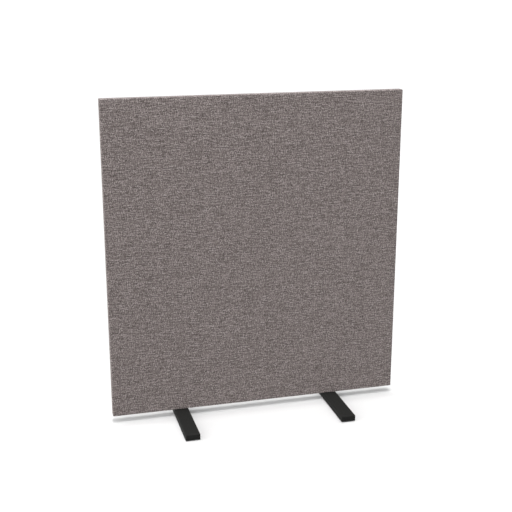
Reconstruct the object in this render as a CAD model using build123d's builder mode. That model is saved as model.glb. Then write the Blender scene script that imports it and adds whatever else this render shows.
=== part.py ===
from build123d import *
import os

# Acoustic divider screen: a fabric covered, sound absorbing panel on two folded steel feet.
# Lengths are in millimetres. X runs along the panel, the front faces -Y and Z points up.
# The origin is on the floor, under the middle of the panel.

os.makedirs("parts", exist_ok=True)

# Panel, measured over the fabric
panel_width = 1200.0
panel_height = 1273.5
panel_thickness = 36.0

# Felt lining, whose rounded edge shapes the fabric's
felt_thickness = 3.0
felt_edge_share = 0.9
lining_ease = 0.3

# Fabric cover, front and rear pieces sewn together along the middle of the panel's edges
fabric_thickness = 1.0
seam_depth = 5.0
seam_groove_play = 0.25

# Timber frame
top_rail_height = 45.0
bottom_rail_height = 70.0
stile_width = 45.0
dowel_radius = 4.0
dowel_length = 50.0
dowel_spacing = 18.0
dowel_chamfer = 1.0
dowel_end_play = 1.0
driven_play = 0.05

# Barrier boards, held in grooves round each bay, and the absorber slabs beside them
board_thickness = 3.0
board_groove_depth = 8.0
board_side_play = 0.1
board_end_play = 1.0
absorber_play = 0.3

# Feet, each folded from one steel sheet with welded corners, open underneath
foot_inset = 280.0
foot_width = 58.0
foot_length = 512.0
foot_height = 23.0
foot_sheet = 2.5
inner_bend_radius = 1.0

# Bolts and washers that hold the feet
bolt_radius = 4.0
bolt_length = 20.0
bolt_spacing = 32.0
bolt_chamfer = 0.8
bolt_head_radius = 7.0
bolt_head_height = 4.4
bolt_head_round = 2.0
bolt_socket_flats = 5.0
bolt_socket_depth = 2.6
bolt_hole_play = 0.5
washer_radius = 8.0
washer_thickness = 1.6
washer_play = 0.2

# Anchor plates with threaded bosses, let into the bottom rail over each foot
anchor_length = 110.0
anchor_width = 20.0
anchor_thickness = 3.0
anchor_corner_radius = 3.0
anchor_play = 0.3
boss_radius = 6.5
boss_height = 12.0
thread_play = 0.1
bolt_end_room = 3.0

# Countersunk wood screws in the anchor plates
screw_radius = 1.75
screw_head_radius = 3.5
screw_length = 25.0
screw_tip = 3.0
screw_column_spacing = 90.0
screw_row_spacing = 10.0

# Closing tape and staples under the bottom rail
tape_thickness = 0.5
tape_edge_inset = 4.0
turn_in_play = 1.0
staple_width = 10.0
staple_leg = 8.0
staple_wire_thickness = 0.6
staple_wire_width = 1.2
staple_spacing = 60.0

# Levelling glides, a stud in a moulded pad, screwed into a bush under each end of each foot
glide_inset = 30.0
glide_projection = 3.0
glide_gap = 2.0
pad_radius = 18.0
pad_rim_height = 2.6
pad_height = 6.5
pad_hub_radius = 9.5
pad_floor = 1.0
pad_chamfer = 0.5
stud_radius = 4.0
stud_head_flats = 13.0
stud_head_height = 2.5
stud_chamfer = 0.8
stud_end_room = 0.5
bush_radius = 7.0
bush_play = 0.08

# One overrun for every cut that runs out of its piece
overrun = 2.0

# Heights, from the floor up
foot_bottom = glide_projection
foot_top = foot_bottom + foot_height
web_underside = foot_top - foot_sheet
panel_bottom = foot_top + tape_thickness
panel_top = panel_bottom + panel_height
frame_bottom = panel_bottom + fabric_thickness
frame_top = panel_top - fabric_thickness
bay_bottom = frame_bottom + bottom_rail_height
bay_top = frame_top - top_rail_height

# Frame and bays
frame_width = panel_width - 2 * fabric_thickness
frame_height = frame_top - frame_bottom
frame_thickness = panel_thickness - 2 * (fabric_thickness + felt_thickness)
bay_width = (frame_width - 3 * stile_width) / 2
bay_height = bay_top - bay_bottom
bay_step = bay_width + stile_width
bay_places = [(-bay_step / 2, (bay_bottom + bay_top) / 2), (bay_step / 2, (bay_bottom + bay_top) / 2)]
stile_steps = (("left_stile", -bay_step), ("middle_stile", 0), ("right_stile", bay_step))

# Edges of the lining, the frame's corners and the fabric follow each other
felt_edge_radius = felt_thickness * felt_edge_share
fabric_inner_radius = felt_edge_radius - lining_ease
fabric_edge_radius = fabric_inner_radius + fabric_thickness

# Places that repeat
sides = (("left", -1), ("right", 1))
ends = (("front", -1), ("rear", 1))
foot_x = panel_width / 2 - foot_inset
glide_y = foot_length / 2 - glide_inset
turn_in_gap = 2 * (bolt_radius + turn_in_play)
turn_in_width = (panel_thickness - turn_in_gap) / 2
bolt_places = [(side * foot_x + step * bolt_spacing / 2, 0) for _, side in sides for step in (-1, 1)]
glide_places = [(side * foot_x, end * glide_y) for _, side in sides for _, end in ends]
staple_count = int((frame_width - staple_spacing) / staple_spacing)
staple_row_spacing = (frame_thickness + anchor_width) / 2
dowel_places = [
    (stile_x + step * dowel_spacing / 2, 0, joint_z)
    for joint_z in (bay_bottom, bay_top)
    for _, stile_x in stile_steps
    for step in (-1, 1)
]
lower_edge = (Align.CENTER, Align.MIN)


def keep(piece, label):
    """Name a finished piece and write its file."""
    piece.part.label = label
    export_step(piece.part, f"parts/{label}.step")


def rounded_block(width, thickness, bottom, top, radius):
    """Upright block over the origin with every edge rounded alike."""
    with BuildPart() as block:
        with BuildSketch(Plane.XY.offset(bottom)):
            Rectangle(width, thickness)
        extrude(amount=top - bottom)
        fillet(block.edges(), radius)
    return block.part


def edge_band(depth):
    """Sketch of a band that follows the frame's sides and top and is open at the bottom."""
    with BuildSketch(Plane.XZ) as band:
        with Locations((0, frame_bottom - overrun)):
            Rectangle(frame_width + 2 * overrun, frame_height + 2 * overrun, align=lower_edge)
            Rectangle(
                frame_width - 2 * depth,
                frame_height + overrun - depth,
                align=lower_edge,
                mode=Mode.SUBTRACT,
            )
    return band.sketch


def bay_slabs(grow, thickness, nearest_y):
    """One slab in each bay, larger than the bay by grow on every side, from nearest_y backwards."""
    with BuildPart() as slabs:
        with BuildSketch(Plane.XZ.offset(-nearest_y)):
            with Locations(*bay_places):
                Rectangle(bay_width + 2 * grow, bay_height + 2 * grow)
        extrude(amount=-thickness)
    return slabs.part.solids().sort_by(Axis.X)


def staple(play):
    """Flat wire staple with its crown at the panel's underside and its legs upwards."""
    with BuildPart() as wire:
        with BuildSketch(Plane.XY.offset(panel_bottom)):
            Rectangle(staple_width + 2 * play, staple_wire_width + 2 * play)
        extrude(amount=staple_wire_thickness)
        with BuildSketch(Plane.XY.offset(panel_bottom)):
            with GridLocations(staple_width - staple_wire_thickness, 0, 2, 1):
                Rectangle(staple_wire_thickness + 2 * play, staple_wire_width + 2 * play)
        extrude(amount=staple_leg + play)
    return wire.part


def staple_rows(play):
    """Two rows of staples, one in each turned-in edge of the fabric."""
    with BuildPart() as rows:
        with GridLocations(staple_spacing, staple_row_spacing, staple_count, 2):
            add(staple(play))
    return rows.part


def wood_screw(play):
    """Countersunk screw with its head's face at the frame's underside and its tip upwards."""
    core = screw_radius + play
    head = screw_head_radius + play
    with BuildPart() as screw:
        with BuildSketch(Plane.XZ):
            with BuildLine():
                Polyline(
                    (0, frame_bottom),
                    (head, frame_bottom),
                    (core, frame_bottom + head - core),
                    (core, frame_bottom + screw_length - screw_tip),
                    (0, frame_bottom + screw_length + play),
                    close=True,
                )
            make_face()
        revolve(axis=Axis.Z)
    return screw.part


def anchor_screw_set(play):
    """Four screws at each anchor plate."""
    with BuildPart() as screws:
        for _, side in sides:
            with Locations((side * foot_x, 0)):
                with GridLocations(screw_column_spacing, screw_row_spacing, 2, 2):
                    add(wood_screw(play))
    return screws.part


def foot_block(x, inset, bottom, radius):
    """Block along a foot, inset from its outer faces, with all but its lower edges rounded."""
    with BuildPart() as block:
        with BuildSketch(Plane.XY.offset(bottom)):
            with Locations((x, 0)):
                Rectangle(foot_width - 2 * inset, foot_length - 2 * inset)
        extrude(amount=foot_top - inset - bottom)
        fillet(block.edges() - block.faces().sort_by(Axis.Z)[0].edges(), radius)
    return block.part


# Fabric cover as one skin, with its seam allowance turned inwards and its edges turned in below
with BuildPart() as cover_hollow:
    add(rounded_block(frame_width, panel_thickness - 2 * fabric_thickness, frame_bottom, frame_top,
                      fabric_inner_radius))
    extrude(edge_band(seam_depth), amount=fabric_thickness, both=True, mode=Mode.SUBTRACT)

with BuildPart() as cover:
    add(rounded_block(panel_width, panel_thickness, panel_bottom, panel_top, fabric_edge_radius))
    add(cover_hollow.part, mode=Mode.SUBTRACT)
    with BuildSketch(Plane.XY.offset(panel_bottom)):
        Rectangle(panel_width - 2 * turn_in_width, turn_in_gap)
    extrude(amount=fabric_thickness, mode=Mode.SUBTRACT)
    add(staple_rows(driven_play), mode=Mode.SUBTRACT)

for label, kept_side in (("front_fabric", Keep.TOP), ("rear_fabric", Keep.BOTTOM)):
    with BuildPart() as fabric:
        add(cover.part)
        split(bisect_by=Plane.XZ, keep=kept_side)
    keep(fabric, label)

# Felt linings, glued to the frame's faces
with BuildPart() as front_felt:
    with BuildSketch(Plane.XZ.offset(frame_thickness / 2)):
        with Locations((0, frame_bottom)):
            Rectangle(frame_width, frame_height, align=lower_edge)
    extrude(amount=felt_thickness)
    outer_edges = front_felt.faces().sort_by(Axis.Y)[0].edges()
    fillet(outer_edges + front_felt.edges().filter_by(Axis.Y), felt_edge_radius)
keep(front_felt, "front_felt")

with BuildPart() as rear_felt:
    mirror(front_felt.part, about=Plane.XZ)
keep(rear_felt, "rear_felt")

# Everything that is cut out of the frame's timbers
with BuildPart() as frame_cuts:
    extrude(
        edge_band(seam_depth + seam_groove_play),
        amount=fabric_thickness + seam_groove_play,
        both=True,
    )
    groove_width = board_thickness + 2 * board_side_play
    add(bay_slabs(board_groove_depth, groove_width, -groove_width / 2))
    with Locations(*dowel_places):
        Cylinder(dowel_radius + driven_play, dowel_length + 2 * dowel_end_play)
    for _, side in sides:
        with BuildSketch(Plane.XY.offset(frame_bottom - overrun)):
            with Locations((side * foot_x, 0)):
                RectangleRounded(
                    anchor_length + 2 * anchor_play,
                    anchor_width + 2 * anchor_play,
                    anchor_corner_radius + anchor_play,
                )
        extrude(amount=overrun + anchor_thickness)
    with BuildSketch(Plane.XY.offset(frame_bottom)):
        with Locations(*bolt_places):
            Circle(boss_radius + anchor_play)
    extrude(amount=anchor_thickness + boss_height + bolt_end_room)
    add(anchor_screw_set(driven_play))
    add(staple_rows(driven_play))

# Timber frame
with BuildPart() as top_rail:
    with BuildSketch(Plane.XY.offset(bay_top)):
        Rectangle(frame_width, frame_thickness)
    extrude(amount=top_rail_height)
    fillet(top_rail.edges().filter_by(Axis.Y).group_by(Axis.Z)[-1], felt_edge_radius)
    add(frame_cuts.part, mode=Mode.SUBTRACT)
keep(top_rail, "top_rail")

with BuildPart() as bottom_rail:
    with BuildSketch(Plane.XY.offset(frame_bottom)):
        Rectangle(frame_width, frame_thickness)
    extrude(amount=bottom_rail_height)
    fillet(bottom_rail.edges().filter_by(Axis.Y).group_by(Axis.Z)[0], felt_edge_radius)
    add(frame_cuts.part, mode=Mode.SUBTRACT)
keep(bottom_rail, "bottom_rail")

for label, stile_x in stile_steps:
    with BuildPart() as stile:
        with BuildSketch(Plane.XY.offset(bay_bottom)):
            with Locations((stile_x, 0)):
                Rectangle(stile_width, frame_thickness)
        extrude(amount=bay_height)
        add(frame_cuts.part, mode=Mode.SUBTRACT)
    keep(stile, label)

with BuildPart() as dowel:
    Cylinder(dowel_radius, dowel_length)
    chamfer(dowel.edges().filter_by(GeomType.CIRCLE), dowel_chamfer)

with BuildPart() as frame_dowels:
    with Locations(*dowel_places):
        add(dowel.part)
keep(frame_dowels, "frame_dowels")

# Barrier boards in the middle of each bay, with an absorber slab in front and one behind
absorber_thickness = (frame_thickness - board_thickness) / 2
boards = bay_slabs(board_groove_depth - board_end_play, board_thickness, -board_thickness / 2)
front_slabs = bay_slabs(-absorber_play, absorber_thickness, -frame_thickness / 2)
rear_slabs = bay_slabs(-absorber_play, absorber_thickness, board_thickness / 2)

for index, (side_name, _) in enumerate(sides):
    with BuildPart() as barrier_board:
        add(boards[index])
    keep(barrier_board, f"{side_name}_barrier_board")
    with BuildPart() as front_absorber:
        add(front_slabs[index])
    keep(front_absorber, f"front_{side_name}_absorber")
    with BuildPart() as rear_absorber:
        add(rear_slabs[index])
    keep(rear_absorber, f"rear_{side_name}_absorber")

# Staples, and the tape that covers them
with BuildPart() as staples:
    add(staple_rows(0))
keep(staples, "staples")

with BuildPart() as closing_tape:
    with BuildSketch(Plane.XY.offset(foot_top)):
        Rectangle(panel_width - 2 * tape_edge_inset, panel_thickness - 2 * tape_edge_inset)
        with Locations(*bolt_places):
            Circle(bolt_radius + turn_in_play, mode=Mode.SUBTRACT)
    extrude(amount=tape_thickness)
keep(closing_tape, "closing_tape")

# Anchor plates
for side_name, side in sides:
    with BuildPart() as anchor_plate:
        with BuildSketch(Plane.XY.offset(frame_bottom)):
            with Locations((side * foot_x, 0)):
                RectangleRounded(anchor_length, anchor_width, anchor_corner_radius)
        extrude(amount=anchor_thickness)
        with BuildSketch(Plane.XY.offset(frame_bottom)):
            with Locations((side * foot_x, 0)):
                with GridLocations(bolt_spacing, 0, 2, 1):
                    Circle(boss_radius)
        extrude(amount=anchor_thickness + boss_height)
        with BuildSketch(Plane.XY.offset(frame_bottom)):
            with Locations((side * foot_x, 0)):
                with GridLocations(bolt_spacing, 0, 2, 1):
                    Circle(bolt_radius + thread_play)
        extrude(amount=anchor_thickness + boss_height, mode=Mode.SUBTRACT)
        add(anchor_screw_set(driven_play), mode=Mode.SUBTRACT)
    keep(anchor_plate, f"{side_name}_anchor_plate")

with BuildPart() as anchor_screws:
    add(anchor_screw_set(0))
keep(anchor_screws, "anchor_screws")

# Feet
for side_name, side in sides:
    with BuildPart() as foot:
        add(foot_block(side * foot_x, 0, foot_bottom, inner_bend_radius + foot_sheet))
        add(
            foot_block(side * foot_x, foot_sheet, foot_bottom - overrun, inner_bend_radius),
            mode=Mode.SUBTRACT,
        )
        with BuildSketch(Plane.XY.offset(web_underside)):
            with Locations((side * foot_x, 0)):
                with GridLocations(bolt_spacing, 0, 2, 1):
                    Circle(bolt_radius + bolt_hole_play)
        extrude(amount=foot_sheet, mode=Mode.SUBTRACT)
    keep(foot, f"{side_name}_foot")

# Washers and button head bolts, put in from under the feet
with BuildPart() as foot_washers:
    with BuildSketch(Plane.XY.offset(web_underside - washer_thickness)):
        with Locations(*bolt_places):
            Circle(washer_radius)
            Circle(bolt_radius + washer_play, mode=Mode.SUBTRACT)
    extrude(amount=washer_thickness)
keep(foot_washers, "foot_washers")

head_top = web_underside - washer_thickness
head_bottom = head_top - bolt_head_height

with BuildPart() as bolt:
    with BuildSketch(Plane.XY.offset(head_bottom)):
        Circle(bolt_head_radius)
    extrude(amount=bolt_head_height)
    fillet(bolt.edges().filter_by(GeomType.CIRCLE).sort_by(Axis.Z)[0], bolt_head_round)
    with BuildSketch(Plane.XY.offset(head_top)):
        Circle(bolt_radius)
    extrude(amount=bolt_length)
    chamfer(bolt.edges().filter_by(GeomType.CIRCLE).sort_by(Axis.Z)[-1], bolt_chamfer)
    with BuildSketch(Plane.XY.offset(head_bottom)):
        RegularPolygon(bolt_socket_flats / 2, 6, major_radius=False)
    extrude(amount=bolt_socket_depth, mode=Mode.SUBTRACT)

with BuildPart() as foot_bolts:
    with Locations(*bolt_places):
        add(bolt.part)
keep(foot_bolts, "foot_bolts")

# Threaded bushes for the glides, welded under the feet
with BuildPart() as glide_bushes:
    with BuildSketch(Plane.XY.offset(pad_height + glide_gap)):
        with Locations(*glide_places):
            Circle(bush_radius)
            Circle(stud_radius + bush_play, mode=Mode.SUBTRACT)
    extrude(amount=web_underside - pad_height - glide_gap)
keep(glide_bushes, "glide_bushes")

# Levelling glides
for side_name, side in sides:
    for end_name, end in ends:
        glide_place = (side * foot_x, end * glide_y)
        glide_axis = Axis((*glide_place, 0), (0, 0, 1))

        with BuildPart() as stud:
            with BuildSketch(Plane.XY.offset(pad_floor)):
                with Locations(glide_place):
                    RegularPolygon(stud_head_flats / 2, 6, major_radius=False)
            extrude(amount=stud_head_height)
            with BuildSketch(Plane.XY.offset(pad_floor)):
                with Locations(glide_place):
                    Circle(stud_radius)
            extrude(amount=web_underside - stud_end_room - pad_floor)
            chamfer(stud.edges().filter_by(GeomType.CIRCLE).sort_by(Axis.Z)[-1], stud_chamfer)
        keep(stud, f"{side_name}_{end_name}_glide_stud")

        with BuildPart() as pad:
            with BuildSketch(Plane((*glide_place, 0), x_dir=(1, 0, 0), z_dir=(0, -1, 0))):
                with BuildLine():
                    Polyline(
                        (0, 0),
                        (pad_radius - pad_chamfer, 0),
                        (pad_radius, pad_chamfer),
                        (pad_radius, pad_rim_height),
                        (pad_hub_radius, pad_height),
                        (0, pad_height),
                        close=True,
                    )
                make_face()
            revolve(axis=glide_axis)
            with BuildSketch(Plane.XY.offset(pad_floor)):
                with Locations(glide_place):
                    RegularPolygon(stud_head_flats / 2, 6, major_radius=False)
            extrude(amount=stud_head_height, mode=Mode.SUBTRACT)
            with BuildSketch(Plane.XY.offset(pad_floor)):
                with Locations(glide_place):
                    Circle(stud_radius + driven_play)
            extrude(amount=pad_height - pad_floor, mode=Mode.SUBTRACT)
        keep(pad, f"{side_name}_{end_name}_glide_pad")
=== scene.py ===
import math

import bpy
import numpy as np
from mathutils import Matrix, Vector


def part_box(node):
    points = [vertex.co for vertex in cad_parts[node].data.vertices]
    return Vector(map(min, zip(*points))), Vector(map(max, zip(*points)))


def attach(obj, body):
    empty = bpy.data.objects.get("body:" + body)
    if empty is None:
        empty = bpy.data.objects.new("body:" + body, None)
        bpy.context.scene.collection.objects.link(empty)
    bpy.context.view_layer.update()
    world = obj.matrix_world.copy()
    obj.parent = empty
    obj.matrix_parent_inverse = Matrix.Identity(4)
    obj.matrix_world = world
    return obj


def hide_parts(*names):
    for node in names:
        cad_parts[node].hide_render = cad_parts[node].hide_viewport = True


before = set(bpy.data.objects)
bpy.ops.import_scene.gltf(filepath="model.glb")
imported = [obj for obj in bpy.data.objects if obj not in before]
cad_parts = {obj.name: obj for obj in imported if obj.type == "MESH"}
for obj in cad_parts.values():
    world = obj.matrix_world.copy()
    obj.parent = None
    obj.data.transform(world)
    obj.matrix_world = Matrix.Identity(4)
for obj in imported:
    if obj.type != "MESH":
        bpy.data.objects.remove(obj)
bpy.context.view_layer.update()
scene = bpy.context.scene

# Acoustic divider screen in metres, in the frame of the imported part:
# X along the panel, the front faces -Y, Z up, origin on the floor under the middle of the panel.
MM = 0.001

# Sewn cover: a front and a rear cloth that meet in a seam along the middle of the sides and top
CLOTH_THICKNESS = 1.0 * MM
CLOTH_EDGE_RADIUS = 3.4 * MM
CLOTH_CORNER_RADIUS = 3.7 * MM
SEAM_CURL_RADIUS = 1.7 * MM
SEAM_GAP = 0.03 * MM
SEAM_ALLOWANCE = 5.0 * MM
CLIPPED_ALLOWANCE = 3.1 * MM
SEAM_INSET = 2.4 * MM
SEAM_OPENING = 12.0 * MM
SEAM_BEND_POINTS = 5
TURN_IN = 13.0 * MM
CROWN = 0.7 * MM
CROWN_REACH = 70.0 * MM
RIPPLE = 0.12 * MM
REAR_CLOTH_START = (3.0, 1.7)

# Seam thread, in short bars across the seam
STITCH_LENGTH = 3.5 * MM
THREAD_RADIUS = 0.25 * MM
THREAD_REACH = 1.0 * MM
THREAD_ARCH = 0.25 * MM
THREAD_DEPTH = 0.7 * MM
THREAD_SLANT = math.radians(9)
THREAD_SIDES = 6

# Cloth's weave: pairs of yarns cross over and under pairs. Real yarns are about 1.2 mm wide, and their
# flecks one yarn; they are drawn a third wider, and each pair as one fleck, so that the flecks show.
# DASH_BESIDE and SHOW_THROUGH are shares of the shade of the dash beside and of the yarns underneath.
YARN_PITCH = 1.6 * MM
PAIR_WIDTH = 2 * YARN_PITCH
WEFT_DASH = 18.0 * MM
WARP_DASH = 7.0 * MM
DASH_CONTRAST = 0.39
DASH_BESIDE = 0.4
SHOW_THROUGH = 0.15
YARN_SHADE = -0.295
YARN_TAPER = 0.7
# Painted shade between the yarns: the colour is darkest where the yarns part and brightest on each yarn's
# crown.
YARN_PAINTED_LIGHT = 0.72
GAP_PAINTED_SHADE = 0.66
SLUB_LENGTH = 22.0 * MM
SLUB_HEIGHT = 2.8 * MM
WAVER = 3.0 * MM
WAVER_LENGTH = 11.0 * MM
FIBRE_LENGTH = 2.4 * MM
FIBRE_WIDTH = 0.26 * MM
TWIST = math.radians(20)

# Soft pieces inside the cover, with the radii of their corners and front edges
FELT_RADII = (2.9 * MM, 2.7 * MM)
FELT_CLEARANCE = 0.04 * MM
WOOL_RADII = (3.0 * MM, 2.2 * MM)
WOOL_SKIN_PLAY = 0.1 * MM
SLAB_BACK_RADIUS = 0.4 * MM

# Meshes of the cover and the soft pieces: steps over a face, closer at its ends, how far the face's grid
# stays in from its edge, steps round a corner, what counts as beside one, and points of each bend
CLOTH_STEP = 14.0 * MM
SOFT_STEP = 28.0 * MM
END_STEPS = (4.0 * MM, 12.0 * MM)
FACE_INSET = 2.0 * MM
CORNER_STEPS = 5
STRAIGHT = 0.999
EDGE_POINTS = 9
CURL_POINTS = 6
BACK_POINTS = 3

# Closing tape under the bottom rail
TAPE_THICKNESS = 0.42 * MM
TAPE_PLAY = 0.04 * MM
TAPE_RIPPLE = 0.02 * MM
TAPE_HOLE_RADIUS = 5.0 * MM
TAPE_ROWS = 6
FOOT_X = 320.0 * MM
BOLT_X = 16.0 * MM

# Levelling glides
GLIDE_Y = 226.0 * MM
THREAD_PITCH = 1.25 * MM
STUD_RADIUS = 4.0 * MM
STUD_ROOT_RADIUS = 3.32 * MM
STUD_CHAMFER = 0.8 * MM
STUD_HEAD_FLATS = 13.0 * MM
STUD_HEAD_HEIGHT = 2.5 * MM
STUD_HEAD_CHAMFER = 0.35 * MM
STUD_COLUMNS = 24
STUD_SHARP_ANGLE = math.radians(38)
ROWS_PER_TURN = 6

# Welds under the feet: round each bush, and down the four inside corners of each foot
FOOT_SHEET = 2.5 * MM
BUSH_RADIUS = 7.0 * MM
WELD_BEAD = 1.4 * MM
WELD_RIPPLE = 1.2 * MM
WELD_SIZES = (0.88, 1.08)
WELD_FLATNESS = 0.7
WELD_BELOW_WEB = 0.4 * WELD_BEAD
WELD_OFF_WALL = 0.15 * WELD_BEAD
WELD_RING_RADIUS = BUSH_RADIUS + 0.3 * WELD_BEAD
WELD_RING_POINTS = 16

# Feet, how far in from an edge their coat is rubbed, the heights between which they are dusty, and how
# high the pads are rubbed
FOOT_HALF_SIZE = (29.0 * MM, 256.0 * MM, 11.5 * MM)
FOOT_MIDDLE_HEIGHT = 14.5 * MM
EDGE_RUB = 3.5 * MM
DUSTY = (3.0 * MM, 11.0 * MM)
FLOOR_RUB = 0.7 * MM

# Seam thread's plies, the pine's growth rings, and how far the log's heart lies from a timber's middle.
# A wave texture at scale 1 repeats every WAVE_AT_ONE metres.
WAVE_AT_ONE = 2 * math.pi / 20
PLY_WIDTH = 0.5 * MM
RING_SPACING = 3.0 * MM
HEART_BESIDE = 38.0 * MM
HEART_BELOW = 61.0 * MM


def paint(code):
    """Linear colour of an sRGB hex value."""
    shares = [int(code[place:place + 2], 16) / 255 for place in (0, 2, 4)]
    return [s / 12.92 if s <= 0.04045 else ((s + 0.055) / 1.055) ** 2.4 for s in shares] + [1.0]


def put(tree, kind, inputs=None, stops=None, **settings):
    """Add a node to a tree, with its settings, the stops of its colour ramp, its input values and its
    links. A kind with no family in its name is a shader node, and an operation may follow it. An input is
    named by place, identifier or name; a node given as its value links its first live output."""
    kind, _, operation = kind.partition(" ")
    node = tree.nodes.new(kind if "Node" in kind else "ShaderNode" + kind)
    if operation:
        node.operation = operation
    for name, value in settings.items():
        setattr(node, name, value)
    if stops:
        ramp = node.color_ramp.elements
        while len(ramp) < len(stops):
            ramp.new(1.0)
        for element, (place, code) in zip(ramp, stops):
            element.position, element.color = place, paint(code)
    for name, value in (inputs or {}).items():
        named = [socket for socket in node.inputs if socket.identifier == name]
        socket = named[0] if named else node.inputs[name]
        if isinstance(value, bpy.types.Node):
            value = next(output for output in value.outputs if output.enabled)
        if isinstance(value, bpy.types.NodeSocket):
            tree.links.new(value, socket)
        else:
            socket.default_value = value
    return node


def empty_tree(owner):
    """The node tree of a material or a sky, emptied."""
    owner.use_nodes = True
    owner.node_tree.nodes.clear()
    return owner.node_tree


def made_material(name, look, *values):
    """A material whose look adds its nodes to the tree and gives the inputs of the surface shader."""
    material = bpy.data.materials.new(name)
    tree = empty_tree(material)
    put(tree, "OutputMaterial", {"Surface": put(tree, "BsdfPrincipled", look(tree, *values))})
    return material


# Fabric of the cover: hopsack weave of wool and polyester yarns, spun from fibres of several greys and
# browns. The eye gets a matt surface with short light and dark flecks, longer across than up, and painted
# shade in the gaps between the yarns.
def woven_melange(tree):
    cloth = put(tree, "UVMap", uv_map="cloth")
    waver = put(tree, "TexNoise", {"Vector": cloth, "Scale": 1 / WAVER_LENGTH})
    laid = put(tree, "VectorMath MULTIPLY_ADD", {0: waver.outputs["Color"], 1: (WAVER, WAVER, 0.0), 2: cloth})
    spot = put(tree, "SeparateXYZ", {0: laid})

    # Number of the pair of yarns up and across, and whether the warp is the one on top there
    in_pairs = put(tree, "VectorMath SCALE", {0: laid, "Scale": 1 / PAIR_WIDTH})
    pair = put(tree, "SeparateXYZ", {0: put(tree, "VectorMath FLOOR", {0: in_pairs})})
    both = put(tree, "Math ADD", {0: pair.outputs["X"], 1: pair.outputs["Y"]})
    warp_up = put(tree, "Math FLOORED_MODULO", {0: both, 1: 2.0})

    # A pair keeps one shade for a short dash, set off against the dash beside it
    dashes = []
    for along, line, length in (("X", "Y", WEFT_DASH), ("Y", "X", WARP_DASH)):
        shade = YARN_SHADE - (1 - DASH_BESIDE) * DASH_CONTRAST
        for step, weight in ((0, 2.0), (-1, -2.0 * DASH_BESIDE)):
            row = put(tree, "Math ADD", {0: pair.outputs[line], 1: step})
            start = put(tree, "TexWhiteNoise", {"W": row}, noise_dimensions="1D")
            place = put(tree, "Math MULTIPLY_ADD", {0: pair.outputs[along], 1: PAIR_WIDTH / length, 2: start})
            count = put(tree, "Math FLOOR", {0: place})
            seed = put(tree, "CombineXYZ", {0: count, 1: row, 2: length / MM})
            own_shade = put(tree, "TexWhiteNoise", {"Vector": seed})
            shade = put(tree, "Math MULTIPLY_ADD", {0: own_shade, 1: weight * DASH_CONTRAST, 2: shade})
        dashes.append(shade)
    warp_share = put(tree, "Math MULTIPLY_ADD", {0: warp_up, 1: 1 - 2 * SHOW_THROUGH, 2: SHOW_THROUGH})
    shade = put(tree, "Mix", {"Factor": warp_share, "A": dashes[0], "B": dashes[1]})

    # The yarn on top, measured along and across itself
    crossed = put(tree, "CombineXYZ", {0: spot.outputs["Y"], 1: spot.outputs["X"]})
    on_yarn = put(tree, "Mix", {"Factor": warp_up, "A_Vector": laid, "B_Vector": crossed}, data_type="VECTOR")
    yarn_turns = put(tree, "VectorMath MULTIPLY", {
        0: on_yarn, 1: (math.pi / PAIR_WIDTH, math.pi / YARN_PITCH, 0.0),
    })
    waves = put(tree, "VectorMath SINE", {0: yarn_turns})
    wave = put(tree, "SeparateXYZ", {0: put(tree, "VectorMath ABSOLUTE", {0: waves})})
    taper = put(tree, "Math MULTIPLY_ADD", {0: wave.outputs["X"], 1: YARN_TAPER, 2: -YARN_TAPER})
    lens = put(tree, "Math ADD", {0: wave.outputs["Y"], 1: taper}, use_clamp=True)
    yarn_height = put(tree, "Math SQRT", {0: lens})
    in_yarns = put(tree, "VectorMath MULTIPLY", {0: on_yarn, 1: (1 / PAIR_WIDTH, 1 / YARN_PITCH, 0.0)})
    one_yarn = put(tree, "TexWhiteNoise", {"Vector": put(tree, "VectorMath FLOOR", {0: in_yarns})})

    # Fibres that slant round each yarn with its twist, and thick and thin places of the spinning
    slanted = put(tree, "VectorRotate", {"Vector": on_yarn, "Angle": TWIST}, rotation_type="Z_AXIS")
    drawn = put(tree, "VectorMath MULTIPLY", {0: slanted, 1: (1 / FIBRE_LENGTH, 1 / FIBRE_WIDTH, 1.0)})
    fibres = put(tree, "TexNoise", {"Vector": drawn, "Scale": 1.0, "Detail": 2.0, "Roughness": 0.6})
    slub_place = put(tree, "VectorMath MULTIPLY", {0: laid, 1: (1 / SLUB_LENGTH, 1 / SLUB_HEIGHT, 1.0)})
    slubs = put(tree, "TexNoise", {"Vector": slub_place, "Scale": 1.0, "Detail": 1.0})
    for part, weight in ((slubs, 0.28), (one_yarn, 0.4), (fibres, 0.9)):
        shade = put(tree, "Math MULTIPLY_ADD", {0: part, 1: weight, 2: shade})
    colour = put(tree, "ValToRGB", {"Fac": shade}, stops=[
        (0.0, "524947"), (0.25, "6a615f"), (0.5, "837977"), (0.75, "a19795"), (1.0, "c1b7b4"),
    ])
    # Painted shade: the colour is darkened where the yarns part and at the ends of each float
    painted_gap_shade = put(tree, "Math MULTIPLY_ADD", {0: lens, 1: YARN_PAINTED_LIGHT, 2: GAP_PAINTED_SHADE})
    shaded = put(tree, "VectorMath SCALE", {0: colour, "Scale": painted_gap_shade})
    height = put(tree, "Math MULTIPLY_ADD", {0: fibres, 1: 0.3, 2: yarn_height})
    relief = put(tree, "Bump", {"Height": height, "Distance": 0.35 * MM, "Strength": 0.5})
    return {
        "Base Color": shaded, "Normal": relief, "Roughness": 0.92, "IOR": 1.5,
        "Specular IOR Level": 0.25, "Sheen Weight": 0.12, "Sheen Roughness": 0.5,
    }


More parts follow.
